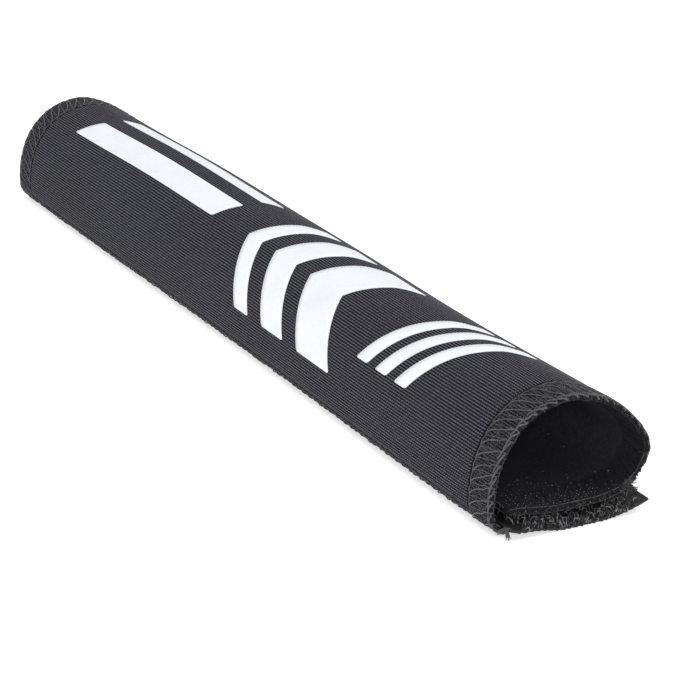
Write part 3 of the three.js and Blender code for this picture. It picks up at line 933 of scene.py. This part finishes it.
def loose_threads():
    """Frayed tails at the hook tape's cut corner, fuzz on the lip, and a tag where the thread ends."""
    tail = on_tape(-2.8, HOOK_TAPE_WIDTH - 0.3, 0.1) + [0, 0.6, 0.2]
    lip = on_roll(-0.1, 63.6, 0.6)
    tag = np.array([-0.1, -10.2, 4.5])
    # Each tuft's place, aim, spread, count, length, radius and curl.
    pale = [
        tuft(tail, (0.15, 1.0, -0.15), 0.06, 14, 2.1, 0.11, 0.08),
        tuft(tail, (-0.6, 0.25, -0.7), 0.05, 12, 1.9, 0.11, 0.06),
        tuft(lip + [0, 0.6, -0.2], (-0.3, -0.5, 0.1), 0.45, 50, 0.8, 0.045, 0.9),
        tuft(lip + [0, 1.4, -0.7], (-0.4, -0.4, 0.1), 0.5, 24, 0.8, 0.045, 0.9),
    ]
    # The tag takes the darker thread: partly darker thread, partly painted shade.
    dark = tuft(tag, (-0.4, -0.84, -0.34), 0.02, 18, 3.1, 0.15, 0.04)
    return [dressed(mesh_piece("loose_threads", *joined(pale)), "thread", THREAD),
            dressed(mesh_piece("thread_tag", *dark), "thread", SHADED_DARK_THREAD)]


def fuzz(edge_name, length, count):
    """Short fibres that lie over a seam's outer face."""
    along, w = rng.uniform(2, length - 2, count), rng.uniform(-0.6, NEEDLE - 0.2, count)
    start = np.stack([along, w, np.zeros(count)], axis=1)[:, None]
    steps = rng.normal(0, 1, (count, 4, 3)) * [0.22, 0.22, 0.05] + [0, 0, 0.03]
    drift = rng.normal(0, 1, (count, 1, 3)) * [0.2, 0.2, 0.0]
    knots = np.concatenate([start, start + np.cumsum(steps + drift, axis=1)], axis=1)
    knots[..., 2] = np.clip(knots[..., 2], 0.0, 0.22)
    lines = np.stack([smooth_line(one, 2) for one in knots])
    fibres = seam_tubes(edge_name, lines[..., 0], lines[..., 1], lines[..., 2], FUZZ_RADIUS, 3)
    return dressed(mesh_piece("fuzz_" + edge_name, *fibres), "thread", THREAD)


def inner_knots():
    """Knots of the inner thread, made pale as a painted highlight where they catch the light on the flap's
    inner face, and a few specks of lint.
    """
    x, s = np.meshgrid(np.arange(0.7, 11, 0.85), np.arange(KNOTS_FROM, GIRTH - 1, 0.70))
    x, s = (x + rng.normal(0, 0.14, x.shape)).ravel(), (s + rng.normal(0, 0.10, s.shape)).ravel()
    likely = 0.8 * np.clip((s - KNOTS_FROM) / 9, 0, 1) * np.exp(-(x / 6.0) ** 2)
    keep = rng.random(len(x)) < likely
    x, s = np.concatenate([np.stack([x[keep], s[keep]], axis=1), LINT_PLACES]).T
    count = len(x)
    depth = SHEET_THICKNESS - inner_press(edge_distance(x, s))
    roots = on_roll(x, s, depth)
    inwards = on_roll(x, s, depth + 1) - roots
    thick = np.where(np.arange(count) < count - len(LINT_PLACES), KNOT_RADIUS, LINT_RADIUS)[:, None]
    turn = rng.normal(0, 1, (count, 3))
    t = np.linspace(0, 1, 4)[None, :, None]
    paths = roots[:, None] + inwards[:, None] * 0.03 + 0.16 * (inwards * 0.4 + turn * 0.5)[:, None] * t
    ups = np.broadcast_to((np.cross(inwards, turn) + 0.01)[:, None], paths.shape)
    return dressed(mesh_piece("inner_knots", *tubes(paths, ups, thick, 4)), "thread", LINT_AND_KNOT_HIGHLIGHTS)


# The print

def print_field(kind, number, along, length, low, high):
    """A field of ink on the outer face, with its corners slightly rounded."""
    v = np.linspace(low, high, int((high - low) / RIB_PITCH * POINTS_TO_A_RIB))
    into_corner = PRINT_CORNER - np.minimum(np.minimum(v - low, high - v), PRINT_CORNER)
    inset = PRINT_CORNER - np.sqrt(np.clip(PRINT_CORNER ** 2 - into_corner ** 2, 0, None))
    if kind == "chevron":
        lean = -PRINT_LEAN * np.abs(v - (low + high) / 2)
    else:
        lean = PRINT_LEAN * (v - low)
    share = np.linspace(0, 1, max(4, int(length / 1.2)))
    x_grid = (along + lean + inset)[:, None] + share * (length - 2 * inset)[:, None]
    s_grid = np.broadcast_to((CROWN - v)[:, None], x_grid.shape)
    rib = 0.35 * RIB_RISE * np.cos(2 * math.pi * s_grid / RIB_PITCH)
    upper = on_roll(x_grid, s_grid, -RIB_RISE - PRINT_FILM - rib)
    lower = on_roll(x_grid, s_grid, -LAID_OVER)
    uv = np.stack([x_grid, s_grid], axis=-1) * MM
    obj = mesh_piece(f"ink_{kind}_{number}", *two_faced(upper, lower, uv, turned=True))
    return dressed(obj, "ink", INK, nodes=[f"print_{kind}_{number}"])


def printed_fields():
    """Every bar and every chevron."""
    return [print_field(kind, number, *field)
            for kind, fields in (("bar", BARS), ("chevron", CHEVRONS))
            for number, field in enumerate(fields, 1)]


# Camera, floor and light

def camera():
    """The photo's camera."""
    data = bpy.data.cameras.new("camera")
    data.sensor_width = SENSOR
    data.lens = FOCAL_PIXELS / PHOTO_PIXELS * SENSOR
    data.clip_start, data.clip_end = 0.01, 20
    obj = in_scene("camera", data)
    obj.location = Vector((np.array(CAMERA_PLACE) + PLACE) * MM)
    aim, up = Vector(CAMERA_AIM), Vector(CAMERA_UP)
    obj.rotation_euler = Matrix((aim.cross(up), up, -aim)).transposed().to_euler()
    bpy.context.scene.camera = obj


def floor():
    """A white floor that glows a little, so that it stays as white as the photo's."""
    mesh = bpy.data.meshes.new("floor")
    corners = [(x * FLOOR_REACH, y * FLOOR_REACH, 0) for x, y in ((-1, -1), (1, -1), (1, 1), (-1, 1))]
    mesh.from_pydata(corners, [], [(0, 1, 2, 3)])
    material, _ = new_material(
        "floor", Base_Color=(0.8, 0.8, 0.8, 1), Roughness=0.9, Specular_IOR_Level=0.1,
        Emission_Color=(1, 1, 1, 1), Emission_Strength=0.55)
    mesh.materials.append(material)
    in_scene("floor", mesh)


def area_light(name, place, aim, size, power):
    """A round soft light at a place, aimed at another, in metres and watts."""
    data = bpy.data.lights.new(name, "AREA")
    data.shape, data.size, data.energy = "DISK", size, power
    obj = in_scene(name, data)
    obj.location = place
    obj.rotation_euler = (Vector(aim) - Vector(place)).to_track_quat("-Z", "Y").to_euler()


def lights():
    """A white world that lights surfaces less than it looks, and three soft lights."""
    world = bpy.data.worlds.new("studio")
    bpy.context.scene.world = world
    world.use_nodes = True
    tree = Tree(world.node_tree)
    background = tree.nodes["Background"].inputs
    background["Color"].default_value = (1, 1, 1, 1)
    ray = tree.nodes.new("ShaderNodeLightPath").outputs
    seen = tree.math("MAXIMUM", ray["Is Glossy Ray"], ray["Is Transmission Ray"])
    seen = tree.math("MAXIMUM", ray["Is Camera Ray"], seen)
    strength = tree.math("MULTIPLY_ADD", seen, 1 - WORLD_LIGHT, WORLD_LIGHT)
    tree.feed(background["Strength"], strength)
    front = (np.array(CAMERA_PLACE) + PLACE) * MM - FRONT_LIGHT_BACK * np.array(CAMERA_AIM)
    area_light("top_softbox", (0.1, 0.35, 1.1), aim=(0, 0, 0), size=0.9, power=5.5)
    area_light("front_fill", front, aim=NEAR_MIDDLE, size=0.3, power=5.0)
    area_light("side_fill", (-0.3, -0.5, 0.6), aim=NEAR_MIDDLE, size=0.3, power=1.5)


camera()
floor()
lights()
sheet = neoprene_sheet()
# The hook edge's seam lies low by the floor and takes the darker thread, partly painted shade.
seams = [*overlock("near_end", GIRTH, UNDER_FLAP), *overlock("far_end", GIRTH, UNDER_FLAP),
         *overlock("hook_edge", SHEET_LENGTH, None, SHADED_DARK_THREAD, 2.4), *overlock("flap_edge", SHEET_LENGTH)]
tape, tape_hooks, loops, rows = hook_tape(), hooks(), loop_tape(), sewn_rows()
ink = printed_fields()
ends = [*loose_threads(), fuzz("near_end", GIRTH, 900), fuzz("far_end", GIRTH, 400), inner_knots()]

bpy.context.scene.view_settings.view_transform = "Standard"
bpy.context.view_layer.update()
